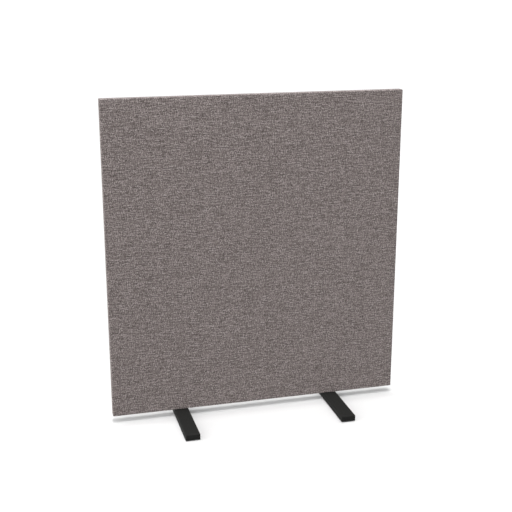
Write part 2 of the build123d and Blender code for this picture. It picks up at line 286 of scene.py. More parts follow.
# Seam thread: two plies of spun polyester, twisted.
# The eye gets slanting lighter and darker plies with a dull shine.
def twisted_thread(tree):
    place = put(tree, "TexCoord").outputs["Object"]
    plies = put(tree, "TexWave", {
        "Vector": place, "Scale": WAVE_AT_ONE / PLY_WIDTH, "Distortion": 1.5, "Detail": 1.0,
    }, bands_direction="DIAGONAL")
    colour = put(tree, "ValToRGB", {"Fac": plies.outputs["Fac"]}, stops=[
        (0.0, "4e4745"), (0.45, "7a716e"), (1.0, "978d89"),
    ])
    relief = put(tree, "Bump", {"Height": plies.outputs["Fac"], "Distance": 0.04 * MM, "Strength": 0.8})
    return {"Base Color": colour, "Normal": relief, "Roughness": 0.55, "IOR": 1.54, "Sheen Weight": 0.1}


# Felt under the cloth: polyester waste, needled through and through.
# The eye gets a dull pale grey with tangled fibres, darker flecks and rows of needle pricks.
def needled_felt(tree):
    place = put(tree, "TexCoord").outputs["Object"]
    fibres = put(tree, "TexNoise", {
        "Vector": place, "Scale": 1 / (1.6 * MM), "Detail": 5.0, "Roughness": 0.7, "Distortion": 1.8,
    })
    colour = put(tree, "ValToRGB", {"Fac": fibres}, stops=[
        (0.28, "8d8b88"), (0.42, "b4b1ab"), (0.6, "cfccc5"), (0.78, "e0ddd6"),
    ])
    flecks = put(tree, "TexVoronoi", {"Vector": place, "Scale": 1 / (7 * MM)})
    fleck = put(tree, "MapRange", {"Value": flecks, "From Min": 0.1, "From Max": 0.2, "To Min": 0.45})
    flecked = put(tree, "VectorMath SCALE", {0: colour, "Scale": fleck})
    pricks = put(tree, "TexVoronoi", {"Vector": place, "Scale": 1 / (2.4 * MM), "Randomness": 0.55})
    prick = put(tree, "MapRange", {"Value": pricks, "From Max": 0.3})
    height = put(tree, "Math MULTIPLY_ADD", {0: fibres, 1: 0.6, 2: prick})
    relief = put(tree, "Bump", {"Height": height, "Distance": 0.3 * MM, "Strength": 0.7})
    return {
        "Base Color": flecked, "Normal": relief,
        "Roughness": 0.96, "IOR": 1.45, "Specular IOR Level": 0.2, "Sheen Weight": 0.2,
    }


# Absorber slabs: carded polyester wool, laid in thin layers and set by heat.
# The eye gets a soft white with long drifts of fibre lying along the slab and layers at its edges.
def carded_wool(tree):
    place = put(tree, "TexCoord").outputs["Object"]
    layered = put(tree, "VectorMath MULTIPLY", {0: place, 1: (0.45, 4.0, 1.0)})
    drifts = put(tree, "TexNoise", {
        "Vector": layered, "Scale": 1 / (5 * MM), "Detail": 6.0, "Roughness": 0.68, "Distortion": 2.2,
    })
    colour = put(tree, "ValToRGB", {"Fac": drifts}, stops=[
        (0.3, "bdbab2"), (0.5, "dad7cf"), (0.72, "f0ede6"),
    ])
    relief = put(tree, "Bump", {"Height": drifts, "Distance": 1.2 * MM, "Strength": 0.8})
    return {
        "Base Color": colour, "Normal": relief,
        "Roughness": 0.98, "IOR": 1.45, "Specular IOR Level": 0.15, "Sheen Weight": 0.3,
    }


# Frame timber: planed pine.
# The eye gets pale yellow wood with darker growth rings 3 mm apart that run with the grain, and few knots.
def planed_pine(tree, piece, along):
    """Pine whose grain runs along one axis, cut from its own place in the log."""
    low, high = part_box(piece)
    heart = (low + high) / 2
    heart[(along + 1) % 3] += HEART_BESIDE
    heart[(along + 2) % 3] -= HEART_BELOW
    place = put(tree, "TexCoord").outputs["Object"]
    from_heart = put(tree, "VectorMath SUBTRACT", {0: place, 1: tuple(heart)})

    # Fibres and rings are drawn out twentyfold along the grain; a knot's cell is 290 mm long, 60 mm wide
    drawn, cells = [put(tree, "VectorMath MULTIPLY", {
        0: from_heart, 1: [with_grain if side == along else across for side in range(3)],
    }) for with_grain, across in ((0.05, 1.0), (3.5, 17.0))]
    rings = put(tree, "TexWave", {
        "Vector": drawn, "Scale": WAVE_AT_ONE / RING_SPACING, "Distortion": 2.4, "Detail": 2.0,
        "Detail Scale": 0.35,
    }, wave_type="RINGS", rings_direction="XYZ"[along])
    fibres = put(tree, "TexNoise", {
        "Vector": drawn, "Scale": 1 / (0.7 * MM), "Detail": 3.0, "Roughness": 0.6,
    })
    knots = put(tree, "TexVoronoi", {"Vector": cells, "Scale": 1.0})
    knot = put(tree, "MapRange", {
        "Value": knots, "From Min": 0.05, "From Max": 0.14, "To Min": 0.35,
    }, interpolation_type="SMOOTHSTEP")
    colour = put(tree, "ValToRGB", {"Fac": rings.outputs["Fac"]}, stops=[
        (0.0, "e8cb9c"), (0.6, "e2bf8b"), (0.88, "c79456"), (1.0, "d6a96f"),
    ])
    fibre_shade = put(tree, "Math MULTIPLY_ADD", {0: fibres, 1: 0.3, 2: 0.83})
    shade = put(tree, "Math MULTIPLY", {0: fibre_shade, 1: knot})
    shaded = put(tree, "VectorMath SCALE", {0: colour, "Scale": shade})
    gloss = put(tree, "MapRange", {"Value": rings.outputs["Fac"], "To Min": 0.66, "To Max": 0.5})
    relief = put(tree, "Bump", {"Height": fibres, "Distance": 0.08 * MM, "Strength": 0.6})
    return {
        "Base Color": shaded, "Roughness": gloss, "Normal": relief,
        "IOR": 1.5, "Specular IOR Level": 0.35,
    }


# Dowels: turned beech.
# The eye gets pinkish brown wood with short dark rays, 2 mm long, that stand with the grain.
def turned_beech(tree):
    place = put(tree, "TexCoord").outputs["Object"]
    drawn = put(tree, "VectorMath MULTIPLY", {0: place, 1: (1.0, 1.0, 0.22)})
    rays = put(tree, "TexVoronoi", {"Vector": drawn, "Scale": 1 / (0.7 * MM)})
    grain = put(tree, "TexNoise", {"Vector": drawn, "Scale": 1 / (2.5 * MM), "Detail": 4.0})
    colour = put(tree, "ValToRGB", {"Fac": grain}, stops=[(0.3, "b98a62"), (0.5, "c99d75"), (0.7, "d9b28c")])
    ray_shade = put(tree, "MapRange", {"Value": rays, "From Max": 0.28, "To Min": 0.62})
    shaded = put(tree, "VectorMath SCALE", {0: colour, "Scale": ray_shade})
    relief = put(tree, "Bump", {"Height": grain, "Distance": 0.05 * MM, "Strength": 0.5})
    return {"Base Color": shaded, "Normal": relief, "Roughness": 0.5, "IOR": 1.5}


# Barrier boards: hardboard, wet-pressed wood fibre.
# The eye gets a dark brown smooth skin, mottled with fibre bundles a few millimetres long.
def pressed_hardboard(tree):
    place = put(tree, "TexCoord").outputs["Object"]
    bundles = put(tree, "TexNoise", {
        "Vector": place, "Scale": 1 / (3.5 * MM), "Detail": 6.0, "Roughness": 0.72, "Distortion": 2.5,
    })
    clouds = put(tree, "TexNoise", {"Vector": place, "Scale": 1 / (60 * MM)})
    mottle = put(tree, "Math MULTIPLY_ADD", {0: clouds, 1: 0.3, 2: bundles})
    colour = put(tree, "ValToRGB", {"Fac": mottle}, stops=[
        (0.42, "4a3324"), (0.62, "66482f"), (0.78, "7d5b3e"), (0.92, "977354"),
    ])
    gloss = put(tree, "MapRange", {"Value": bundles, "To Min": 0.62, "To Max": 0.42})
    relief = put(tree, "Bump", {"Height": bundles, "Distance": 0.06 * MM, "Strength": 0.6})
    return {"Base Color": colour, "Roughness": gloss, "Normal": relief, "IOR": 1.5, "Specular IOR Level": 0.4}


# Closing tape: spunbonded polypropylene, bonded at points by a hot embossed roll.
# The eye gets a dull black cloth of fine fibres with rows of small shiny sunk points, 1.6 mm apart.
def spunbonded_tape(tree):
    place = put(tree, "TexCoord").outputs["Object"]
    turned = put(tree, "VectorRotate", {"Vector": place, "Angle": math.radians(45)}, rotation_type="Z_AXIS")
    flat = put(tree, "VectorMath MULTIPLY", {0: turned, 1: (1.0, 1.0, 0.0)})
    points = put(tree, "TexVoronoi", {"Vector": flat, "Scale": 1 / (1.6 * MM), "Randomness": 0.0})
    sunk = put(tree, "MapRange", {"Value": points, "From Min": 0.2, "From Max": 0.38},
               interpolation_type="SMOOTHSTEP")
    fibres = put(tree, "TexNoise", {
        "Vector": place, "Scale": 1 / (0.9 * MM), "Detail": 4.0, "Roughness": 0.7, "Distortion": 2.0,
    })
    shade = put(tree, "Math MULTIPLY_ADD", {0: sunk, 1: 0.35, 2: fibres})
    colour = put(tree, "ValToRGB", {"Fac": shade}, stops=[(0.35, "101010"), (0.7, "1f1f1f"), (1.0, "303030")])
    gloss = put(tree, "MapRange", {"Value": sunk, "To Min": 0.45, "To Max": 0.9})
    height = put(tree, "Math MULTIPLY_ADD", {0: fibres, 1: 0.4, 2: sunk})
    relief = put(tree, "Bump", {"Height": height, "Distance": 0.12 * MM, "Strength": 0.8})
    return {
        "Base Color": colour, "Roughness": gloss, "Normal": relief,
        "IOR": 1.49, "Specular IOR Level": 0.3, "Sheen Weight": 0.15,
    }


# Feet: steel sheet with baked black polyester powder.
# The eye gets a soft matt black, grained and faintly rippled by the powder's flow, with edges rubbed a
# little grey and dusty scuffs near the floor.
def powder_coat(tree):
    place = put(tree, "TexCoord").outputs["Object"]
    flow = put(tree, "TexNoise", {"Vector": place, "Scale": 1 / (1.8 * MM)})
    grains = put(tree, "TexNoise", {"Vector": place, "Scale": 1 / (0.5 * MM), "Detail": 1.0})
    colour = put(tree, "ValToRGB", {"Fac": grains}, stops=[(0.3, "212120"), (0.5, "262625"), (0.7, "2e2e2d")])
    drawn = put(tree, "VectorMath MULTIPLY", {0: place, 1: (1.0, 0.3, 2.5)})
    rubs = put(tree, "TexNoise", {"Vector": drawn, "Scale": 1 / (9 * MM), "Detail": 6.0, "Roughness": 0.75})
    rubbed = put(tree, "MapRange", {"Value": rubs, "From Min": 0.52, "From Max": 0.7})
    up = put(tree, "SeparateXYZ", {0: place})
    near_floor = put(tree, "MapRange", {
        "Value": up.outputs["Z"], "From Min": DUSTY[0], "From Max": DUSTY[1], "To Min": 0.2, "To Max": 0.12,
    })

    # An edge is where two of the foot's faces are near
    from_middle = put(tree, "VectorMath SUBTRACT", {
        0: put(tree, "VectorMath ABSOLUTE", {0: place}), 1: (FOOT_X, 0.0, FOOT_MIDDLE_HEIGHT),
    })
    nearness = put(tree, "VectorMath MULTIPLY_ADD", {
        0: put(tree, "VectorMath ABSOLUTE", {0: from_middle}), 1: [1 / EDGE_RUB] * 3,
        2: [1 - half / EDGE_RUB for half in FOOT_HALF_SIZE],
    })
    near_faces = put(tree, "VectorMath DOT_PRODUCT", {
        0: put(tree, "VectorMath MAXIMUM", {0: nearness, 1: (0.0, 0.0, 0.0)}), 1: (1.0, 1.0, 1.0),
    })
    edge = put(tree, "Math SUBTRACT", {0: near_faces, 1: 1.0}, use_clamp=True)
    bare = put(tree, "Math MULTIPLY_ADD", {0: edge, 1: 0.4, 2: near_floor})
    scuff = put(tree, "Math MULTIPLY_ADD", {0: rubbed, 1: bare, 2: 1.0})
    scuffed = put(tree, "VectorMath SCALE", {0: colour, "Scale": scuff})
    gloss = put(tree, "MapRange", {"Value": flow, "To Min": 0.55, "To Max": 0.75})
    height = put(tree, "Math MULTIPLY_ADD", {0: grains, 1: 0.4, 2: flow})
    relief = put(tree, "Bump", {"Height": height, "Distance": 0.12 * MM, "Strength": 0.6})
    return {
        "Base Color": scuffed, "Roughness": gloss, "Normal": relief,
        "IOR": 1.5, "Specular IOR Level": 0.05,
    }


# Fixings: zinc-plated steel with a clear passivated skin.
# The eye gets a cool bright grey, clouded a little blue and yellow, with fine marks of the tumbling.
def zinc_plate(tree):
    place = put(tree, "TexCoord").outputs["Object"]
    clouds = put(tree, "TexNoise", {"Vector": place, "Scale": 1 / (5 * MM), "Detail": 3.0, "Distortion": 0.8})
    marks = put(tree, "TexNoise", {"Vector": place, "Scale": 1 / (0.5 * MM), "Detail": 4.0, "Roughness": 0.7})
    colour = put(tree, "ValToRGB", {"Fac": clouds}, stops=[
        (0.3, "b2bac6"), (0.48, "c6c9cc"), (0.6, "d0cfc8"), (0.75, "cfc9b6"),
    ])
    gloss = put(tree, "MapRange", {
        "Value": marks, "From Min": 0.3, "From Max": 0.7, "To Min": 0.24, "To Max": 0.42,
    })
    relief = put(tree, "Bump", {"Height": marks, "Distance": 0.02 * MM, "Strength": 0.5})
    return {"Base Color": colour, "Roughness": gloss, "Normal": relief, "Metallic": 1.0}


# Glide pads: glass-filled nylon, injection moulded.
# The eye gets a satin black with a fine sparked grain, faint flow lines and a floor edge rubbed grey.
def moulded_nylon(tree):
    place = put(tree, "TexCoord").outputs["Object"]
    sparks = put(tree, "TexNoise", {"Vector": place, "Scale": 1 / (0.4 * MM)})
    flow = put(tree, "TexNoise", {"Vector": place, "Scale": 1 / (8 * MM), "Detail": 3.0, "Distortion": 2.5})
    colour = put(tree, "ValToRGB", {"Fac": flow}, stops=[(0.3, "171717"), (0.5, "1d1d1d"), (0.7, "232322")])
    up = put(tree, "SeparateXYZ", {0: place})
    near_floor = put(tree, "MapRange", {
        "Value": up.outputs["Z"], "From Max": FLOOR_RUB, "To Min": 1.0, "To Max": 0.0,
    })
    rubs = put(tree, "TexNoise", {"Vector": place, "Scale": 1 / (5 * MM), "Detail": 6.0, "Roughness": 0.75})
    rubbed = put(tree, "MapRange", {
        "Value": rubs, "From Min": 0.35, "From Max": 0.7, "To Min": 0.2, "To Max": 2.2,
    })
    worn = put(tree, "Math MULTIPLY_ADD", {0: near_floor, 1: rubbed, 2: 1.0})
    shaded = put(tree, "VectorMath SCALE", {0: colour, "Scale": worn})
    gloss = put(tree, "MapRange", {"Value": flow, "To Min": 0.38, "To Max": 0.55})
    relief = put(tree, "Bump", {"Height": sparks, "Distance": 0.04 * MM, "Strength": 0.6})
    return {
        "Base Color": shaded, "Roughness": gloss, "Normal": relief,
        "IOR": 1.53, "Specular IOR Level": 0.4,
    }


melange = made_material("woven_wool_melange", woven_melange)
seam_thread = made_material("twisted_polyester_thread", twisted_thread)
felt = made_material("needled_polyester_felt", needled_felt)
wool = made_material("carded_polyester_wool", carded_wool)
hardboard = made_material("pressed_hardboard", pressed_hardboard)
beech = made_material("turned_beech", turned_beech)
tape = made_material("spunbonded_polypropylene", spunbonded_tape)
black_coat = made_material("black_powder_coat", powder_coat)
zinc = made_material("zinc_plated_steel", zinc_plate)
nylon = made_material("moulded_nylon", moulded_nylon)


def add_object(name, data):
    """A new object in the scene, at the origin."""
    thing = bpy.data.objects.new(name, data)
    scene.collection.objects.link(thing)
    return thing


def add_mesh(name, points, faces, material):
    """An object with a mesh of one material."""
    mesh = bpy.data.meshes.new(name)
    mesh.from_pydata([tuple(map(float, point)) for point in points], [], faces)
    mesh.materials.append(material)
    return add_object(name, mesh)


def finished_piece(name, points, faces, material, body="screen"):
    """A mesh with smooth faces that rides on a body."""
    piece = add_mesh(name, points, faces, material)
    piece.data.shade_smooth()
    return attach(piece, body)


def thicken(sheet, name, thickness):
    """Give a sheet its thickness, behind the face that is drawn."""
    solid = sheet.modifiers.new(name, "SOLIDIFY")
    solid.thickness, solid.offset = thickness, -1.0


def map_cloth(piece, places):
    """Give a piece its flat cloth's own measure, in metres, at every point."""
    corners = [corner.vertex_index for corner in piece.data.loops]
    piece.data.uv_layers.new(name="cloth").data.foreach_set("uv", places[corners].astype(np.float32).ravel())


def spaced(low, high, step):
    """Places from low to high, closer together at both ends."""
    first, second = END_STEPS
    count = max(1, round((high - low - 2 * second) / step))
    middle = np.linspace(low + second, high - second, count + 1)
    return np.concatenate(([low, low + first], middle, [high - first, high]))


def edge_path(xs, zs):
    """Round an upright rectangle, from its low left: corner centres, outward directions and the grid
    point that each one joins."""
    wide, tall = len(xs), len(zs)
    sides = (
        [(x, zs[0], i * tall) for i, x in enumerate(xs)],
        [(xs[-1], z, (wide - 1) * tall + k) for k, z in enumerate(zs)],
        [(x, zs[-1], i * tall + tall - 1) for i, x in enumerate(xs)][::-1],
        [(xs[0], z, k) for k, z in enumerate(zs)][::-1],
    )
    path = []
    for number, side in enumerate(sides):
        start = math.radians(90 * (number - 1))
        path += [(*spot, start) for spot in side]
        path += [(*side[-1], start + math.pi / 2 * step / CORNER_STEPS) for step in range(1, CORNER_STEPS)]
    ways = [(math.cos(angle), math.sin(angle)) for *_, angle in path]
    return np.array([(x, z) for x, z, *_ in path]), np.array(ways), [join for *_, join, _ in path]


def wrapped_sheet(low, high, corner, rings, face_depth, step, facing, back_depth=None):
    """Points, faces and cloth places of a sheet over the rectangle from low to high that wraps round
    its edges. rings gives the inset and depth of each turn round the edge, face_depth the depth of the
    face, facing is -1 to the front, and a sheet with a back_depth is closed behind."""
    xs = spaced(low[0] + corner, high[0] - corner, step)
    zs = spaced(low[1] + corner, high[1] - corner, step)
    centres, ways, joins = edge_path(xs, zs)
    insets, depths = rings(centres, ways)
    first = insets[0].max() + FACE_INSET
    inner_xs = np.clip(xs, low[0] + first, high[0] - first)
    inner_zs = np.clip(zs, low[1] + first, high[1] - first)
    grid = np.array([(x, z) for x in inner_xs for z in inner_zs])

    def at_depth(spots, depth):
        return np.column_stack([spots[:, 0], facing * depth * np.ones(len(spots)), spots[:, 1]])

    points, places = [at_depth(grid, face_depth(grid))], [grid]
    run = np.zeros(len(centres))
    for turn, (inset, depth) in enumerate(zip(insets, depths)):
        spot = centres + ways * (corner - inset)[:, None]
        if turn:
            run = run + np.hypot(inset - insets[turn - 1], depth - depths[turn - 1])
        points.append(at_depth(spot, depth))
        places.append(centres + ways * (corner - insets[0] + run)[:, None])
    if back_depth is not None:
        points.append(at_depth(grid, back_depth))
        places.append(grid)

    wide, tall, round_count = len(xs), len(zs), len(centres)
    cells = [(i * tall + k, i * tall + tall + k, i * tall + tall + k + 1, i * tall + k + 1)
             for i in range(wide - 1) for k in range(tall - 1)]
    faces = list(cells)
    start = wide * tall
    back = start + len(insets) * round_count
    last = back - round_count
    for spot in range(round_count):
        after = (spot + 1) % round_count
        edge = (joins[spot], start + spot, start + after)
        faces.append(edge if joins[spot] == joins[after] else (*edge, joins[after]))
        for inner in range(start, last, round_count):
            outer = inner + round_count
            faces.append((inner + spot, outer + spot, outer + after, inner + after))
        if back_depth is not None:
            edge = (last + spot, back + joins[spot], back + joins[after], last + after)
            faces.append(edge if joins[spot] != joins[after] else (edge[0], edge[1], edge[3]))
    if back_depth is not None:
        faces += [tuple(back + number for number in reversed(cell)) for cell in cells]
    if facing > 0:
        faces = [tuple(reversed(face)) for face in faces]
    return np.concatenate(points), faces, np.concatenate(places)


cover_low, cover_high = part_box("front_fabric")
PANEL_LOW = np.array(cover_low.xz)
PANEL_HIGH = np.array(cover_high.xz)
PANEL_HALF_DEPTH = -cover_low.y


def crowned(grid):
    """How far the soft face stands out of its flat place: the felt is pressed down along its edges, and
    slight ripples 160 to 480 mm long run over it."""
    near = np.minimum((grid - PANEL_LOW).min(1), (PANEL_HIGH - grid).min(1))
    rise = 1 - (1 - np.clip(near / CROWN_REACH, 0, 1)) ** 3
    x, z = grid.T
    waves = np.sin(x * 17 + 1.3 * np.sin(z * 9)) * np.sin(z * 13 + 0.8) + 0.6 * np.sin(x * 31 - z * 23 + 2.0)
    return CROWN * rise + RIPPLE * rise * waves


def quarter_turn(count):
    """Angles that divide a quarter turn."""
    return np.radians(np.linspace(0, 90, count))


def cover_rings(centres, ways):
    """Round the cover's edge, along the band and into the seam; underneath, along to the turned-in edge."""
    edge_depth = PANEL_HALF_DEPTH - CLOTH_EDGE_RADIUS
    curl_depth = SEAM_CURL_RADIUS + SEAM_GAP
    edge = [(CLOTH_EDGE_RADIUS * (1 - math.sin(angle)), edge_depth + CLOTH_EDGE_RADIUS * math.cos(angle))
            for angle in quarter_turn(EDGE_POINTS)]
    band = [(0.0, edge_depth + (curl_depth - edge_depth) * share) for share in (0.25, 0.5, 0.75)]
    into_seam = [(SEAM_CURL_RADIUS * (1 - math.cos(angle)), curl_depth - SEAM_CURL_RADIUS * math.sin(angle))
                 for angle in quarter_turn(CURL_POINTS)]
    side = edge + band + into_seam + [(SEAM_INSET, SEAM_GAP), (SEAM_ALLOWANCE, SEAM_GAP)]
    under_count = len(side) - len(edge)
    under = edge + [(0.0, edge_depth + (PANEL_HALF_DEPTH - TURN_IN - edge_depth) * (n + 1) / under_count)
                    for n in range(under_count)]

    # The seam opens into the turned-in edge a little way in from the bottom corners
    flat_side = centres[:, 0].max()
    share = np.clip((flat_side - np.abs(centres[:, 0])) / SEAM_OPENING, 0, 1) * (ways[:, 1] < -STRAIGHT)
    side, under = (np.array(rings).T[..., None] for rings in (side, under))
    insets, depths = side * (1 - share) + under * share

    # Round the corners the allowance is clipped, to lie flat
    straight = np.abs(ways).max(1) > STRAIGHT
    straight &= np.roll(straight, 1) & np.roll(straight, -1)
    insets[-1] = np.where(straight, insets[-1], np.minimum(insets[-1], CLIPPED_ALLOWANCE))
    return insets, depths


def cover_half(name, node, facing, cloth_start):
    """One cloth of the cover, stretched over the panel's face and edges."""
    points, faces, places = wrapped_sheet(
        PANEL_LOW, PANEL_HIGH, CLOTH_CORNER_RADIUS, cover_rings,
        lambda grid: PANEL_HALF_DEPTH + crowned(grid), CLOTH_STEP, facing,
    )
    piece = finished_piece(name, points, faces, melange)
    map_cloth(piece, places + cloth_start)
    thicken(piece, "cloth thickness", CLOTH_THICKNESS)
    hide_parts(node)
    return piece


def soft_slab(name, node, facing, radii, play, swelling, material):
    """A slab in its node's place, with a soft front edge and a nearly sharp back edge. Its face is lowered
    by its play and raised by its swelling."""
    corner_radius, edge_radius = radii
    low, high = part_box(node)
    face, back = max(abs(low.y), abs(high.y)) - play, min(abs(low.y), abs(high.y))
    turns = [(edge_radius * (1 - math.sin(angle)), face - edge_radius * (1 - math.cos(angle)))
             for angle in quarter_turn(CURL_POINTS)]
    turns += [(SLAB_BACK_RADIUS * (1 - math.cos(angle)), back + SLAB_BACK_RADIUS * (1 - math.sin(angle)))
              for angle in quarter_turn(BACK_POINTS)]
    points, faces, _ = wrapped_sheet(
        np.array(low.xz), np.array(high.xz), corner_radius,
        lambda centres, ways: np.array(turns).T[..., None] * np.ones(len(centres)),
        lambda grid: face + swelling(grid), SOFT_STEP, facing, back_depth=back,
    )
    return finished_piece(name, points, faces, material)


def felt_lining(name, node, facing):
    """Needled felt on one face of the frame, under the cloth."""
    piece = soft_slab(name, node, facing, FELT_RADII, FELT_CLEARANCE, crowned, felt)
    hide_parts(node)
    return piece


def absorber_slab(name, node, facing):
    """Polyester wool slab that fills one side of a bay, with a flat face."""
    piece = soft_slab(name, node, facing, WOOL_RADII, WOOL_SKIN_PLAY, lambda grid: 0.0, wool)
    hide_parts(node)
    return piece


def strip_spot(strip, x, y):
    """Number of a strip's point, added the first time that it is asked for."""
    return strip.setdefault((round(x, 7), round(y, 7)), len(strip))


def closing_tape(name, node):
    """Tape under the bottom rail, stuck over the raw edges of the cloth, with a hole for each foot bolt."""
    low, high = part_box(node)
    half = (high.y - low.y) / 2
    rows = np.linspace(-half, half, TAPE_ROWS + 1)
    holes = [side * FOOT_X + bolt * BOLT_X for side in (-1, 1) for bolt in (-1, 1)]
    cuts = [low.x] + [hole + end * half for hole in holes for end in (-1, 1)] + [high.x]
    strip, faces = {}, []
    for left, right in zip(cuts[0::2], cuts[1::2]):
        columns = np.linspace(left, right, max(1, round((right - left) / CLOTH_STEP)) + 1)
        for x, after in zip(columns, columns[1:]):
            faces += [[strip_spot(strip, *spot) for spot in ((x, y), (x, up), (after, up), (after, y))]
                      for y, up in zip(rows, rows[1:])]
    for hole in holes:
        square = [(y, -half) for y in rows[:-1]] + [(half, y) for y in rows[:-1]]
        border = np.array(square + [(-x, -y) for x, y in square])
        ring = border / np.hypot(*border.T)[:, None] * TAPE_HOLE_RADIUS
        turns = [[strip_spot(strip, hole + x, y) for x, y in border * (1 - share) + ring * share]
                 for share in (0.0, 0.4, 0.75, 1.0)]
        for outer, inner in zip(turns, turns[1:]):
            faces += [[outer[k - 1], inner[k - 1], inner[k], outer[k]] for k in range(len(outer))]

    # Ripples 30 mm long and 19 mm wide
    spots = np.array(list(strip))
    ripples = np.sin(spots[:, 0] * 210) * np.sin(spots[:, 1] * 330 + 0.7)
    heights = low.z + TAPE_PLAY + TAPE_RIPPLE * ripples
    piece = finished_piece(name, np.column_stack([spots, heights]), faces, tape)
    thicken(piece, "tape thickness", TAPE_THICKNESS)
    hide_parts(node)
    return piece


def threaded_stud(name, node, body):
    """Glide stud with a rolled M8 thread and a hexagon head that sits in the pad."""
    low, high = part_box(node)
    middle = (low + high) / 2
    angles = 2 * math.pi * np.arange(STUD_COLUMNS) / STUD_COLUMNS
    flats = STUD_HEAD_FLATS / 2 / np.cos((angles + math.pi / 6) % (math.pi / 3) - math.pi / 6)
    head_top = low.z + STUD_HEAD_HEIGHT
    chamfered = np.minimum(flats, STUD_HEAD_FLATS / 2)
    rings = [(low.z, chamfered - STUD_HEAD_CHAMFER), (low.z + STUD_HEAD_CHAMFER, flats),
             (head_top - STUD_HEAD_CHAMFER, flats), (head_top, chamfered - STUD_HEAD_CHAMFER),
             (head_top, np.full(STUD_COLUMNS, STUD_ROOT_RADIUS))]
    count = round((high.z - head_top) / THREAD_PITCH * ROWS_PER_TURN)
    for z in np.linspace(head_top, high.z, count + 1)[1:]:
        along = (z / THREAD_PITCH - angles / (2 * math.pi)) % 1
        flank = np.clip(1.4 * (1 - np.abs(2 * along - 1)) - 0.15, 0, 1)
        started = min(1, (z - head_top) / THREAD_PITCH)
        thread = STUD_ROOT_RADIUS + (STUD_RADIUS - STUD_ROOT_RADIUS) * flank * started
        rings.append((z, np.minimum(thread, STUD_RADIUS - max(0.0, z - (high.z - STUD_CHAMFER)))))
    points = [(middle.x + radius * math.cos(angle), middle.y + radius * math.sin(angle), z)
              for z, radii in rings for angle, radius in zip(angles, radii)]
    last, top, bottom = len(points) - STUD_COLUMNS, len(points), len(points) + 1
    points += [(middle.x, middle.y, high.z), (middle.x, middle.y, low.z)]
    faces = []
    for k in range(STUD_COLUMNS):
        after = (k + 1) % STUD_COLUMNS
        faces += [(turn + k, turn + after, turn + STUD_COLUMNS + after, turn + STUD_COLUMNS + k)
                  for turn in range(0, last, STUD_COLUMNS)]
        faces += [(bottom, after, k), (top, last + k, last + after)]
    piece = finished_piece(name, points, faces, zinc, body)
    piece.data.set_sharp_from_angle(angle=STUD_SHARP_ANGLE)
    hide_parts(node)
    return piece


def start_path_tree(name, sizes):
    """A geometry tree that works along a path, with named inputs for its sizes."""
    tree = bpy.data.node_groups.new(name, "GeometryNodeTree")
    kinds = {"Geometry": "Geometry", **dict.fromkeys(sizes, "Float"), "Seed": "Int", "Material": "Material"}
    for label, kind in kinds.items():
        tree.interface.new_socket(label, in_out="INPUT", socket_type="NodeSocket" + kind)
    tree.interface.new_socket("Geometry", in_out="OUTPUT", socket_type="NodeSocketGeometry")
    return tree, put(tree, "NodeGroupInput").outputs


def finish_path_tree(tree, sizes, spacing, shape, turned, scale):
    """Set a shape on points along the path, at a turn and a scale, and make the result real."""
    path = put(tree, "GeometryNodeMeshToCurve", {"Mesh": sizes["Geometry"]})
    steps = put(tree, "GeometryNodeResampleCurve", {"Curve": path, "Length": spacing}, mode="LENGTH")
    along = put(tree, "FunctionNodeAlignRotationToVector", {"Vector": put(tree, "GeometryNodeInputTangent")},
                axis="X", pivot_axis="AUTO" if turned is None else "Y")
    rotation = along if turned is None else put(tree, "FunctionNodeRotateRotation", {
        "Rotation": along, "Rotate By": turned,
    }, rotation_space="LOCAL")
    placed = put(tree, "GeometryNodeInstanceOnPoints", {
        "Points": steps, "Instance": shape, "Rotation": rotation, "Scale": scale,
    })
    real = put(tree, "GeometryNodeRealizeInstances", {"Geometry": placed})
    coloured = put(tree, "GeometryNodeSetMaterial", {"Geometry": real, "Material": sizes["Material"]})
    put(tree, "NodeGroupOutput", {"Geometry": coloured})
    return tree


def stitch_tree():
    """Short arched bars of thread across a seam, a little askew."""
    tree, sizes = start_path_tree("seam_stitches", (
        "Stitch length", "Thread radius", "Reach", "Arch", "Slant",
    ))
    back = put(tree, "Math MULTIPLY", {0: sizes["Reach"], 1: -1.0})
    lift = put(tree, "Math MULTIPLY", {0: sizes["Arch"], 1: 2.0})
    bar = put(tree, "GeometryNodeCurveQuadraticBezier", {
        "Resolution": 4, "Start": put(tree, "CombineXYZ", {"Y": back}),
        "Middle": put(tree, "CombineXYZ", {"Z": lift}),
        "End": put(tree, "CombineXYZ", {"Y": sizes["Reach"]}),
    })
    round_thread = put(tree, "GeometryNodeCurvePrimitiveCircle", {
        "Resolution": THREAD_SIDES, "Radius": sizes["Thread radius"],
    })
    thread = put(tree, "GeometryNodeCurveToMesh", {
        "Curve": bar, "Profile Curve": round_thread, "Fill Caps": True,
    })
    other_way = put(tree, "Math MULTIPLY", {0: sizes["Slant"], 1: -1.0})
    askew = put(tree, "FunctionNodeRandomValue", {
        "Min_001": other_way, "Max_001": sizes["Slant"], "Seed": sizes["Seed"],
    }, data_type="FLOAT")
    turned = put(tree, "FunctionNodeEulerToRotation", {"Euler": put(tree, "CombineXYZ", {"Z": askew})})
    return finish_path_tree(tree, sizes, sizes["Stitch length"], thread, turned, (1.0, 1.0, 1.0))


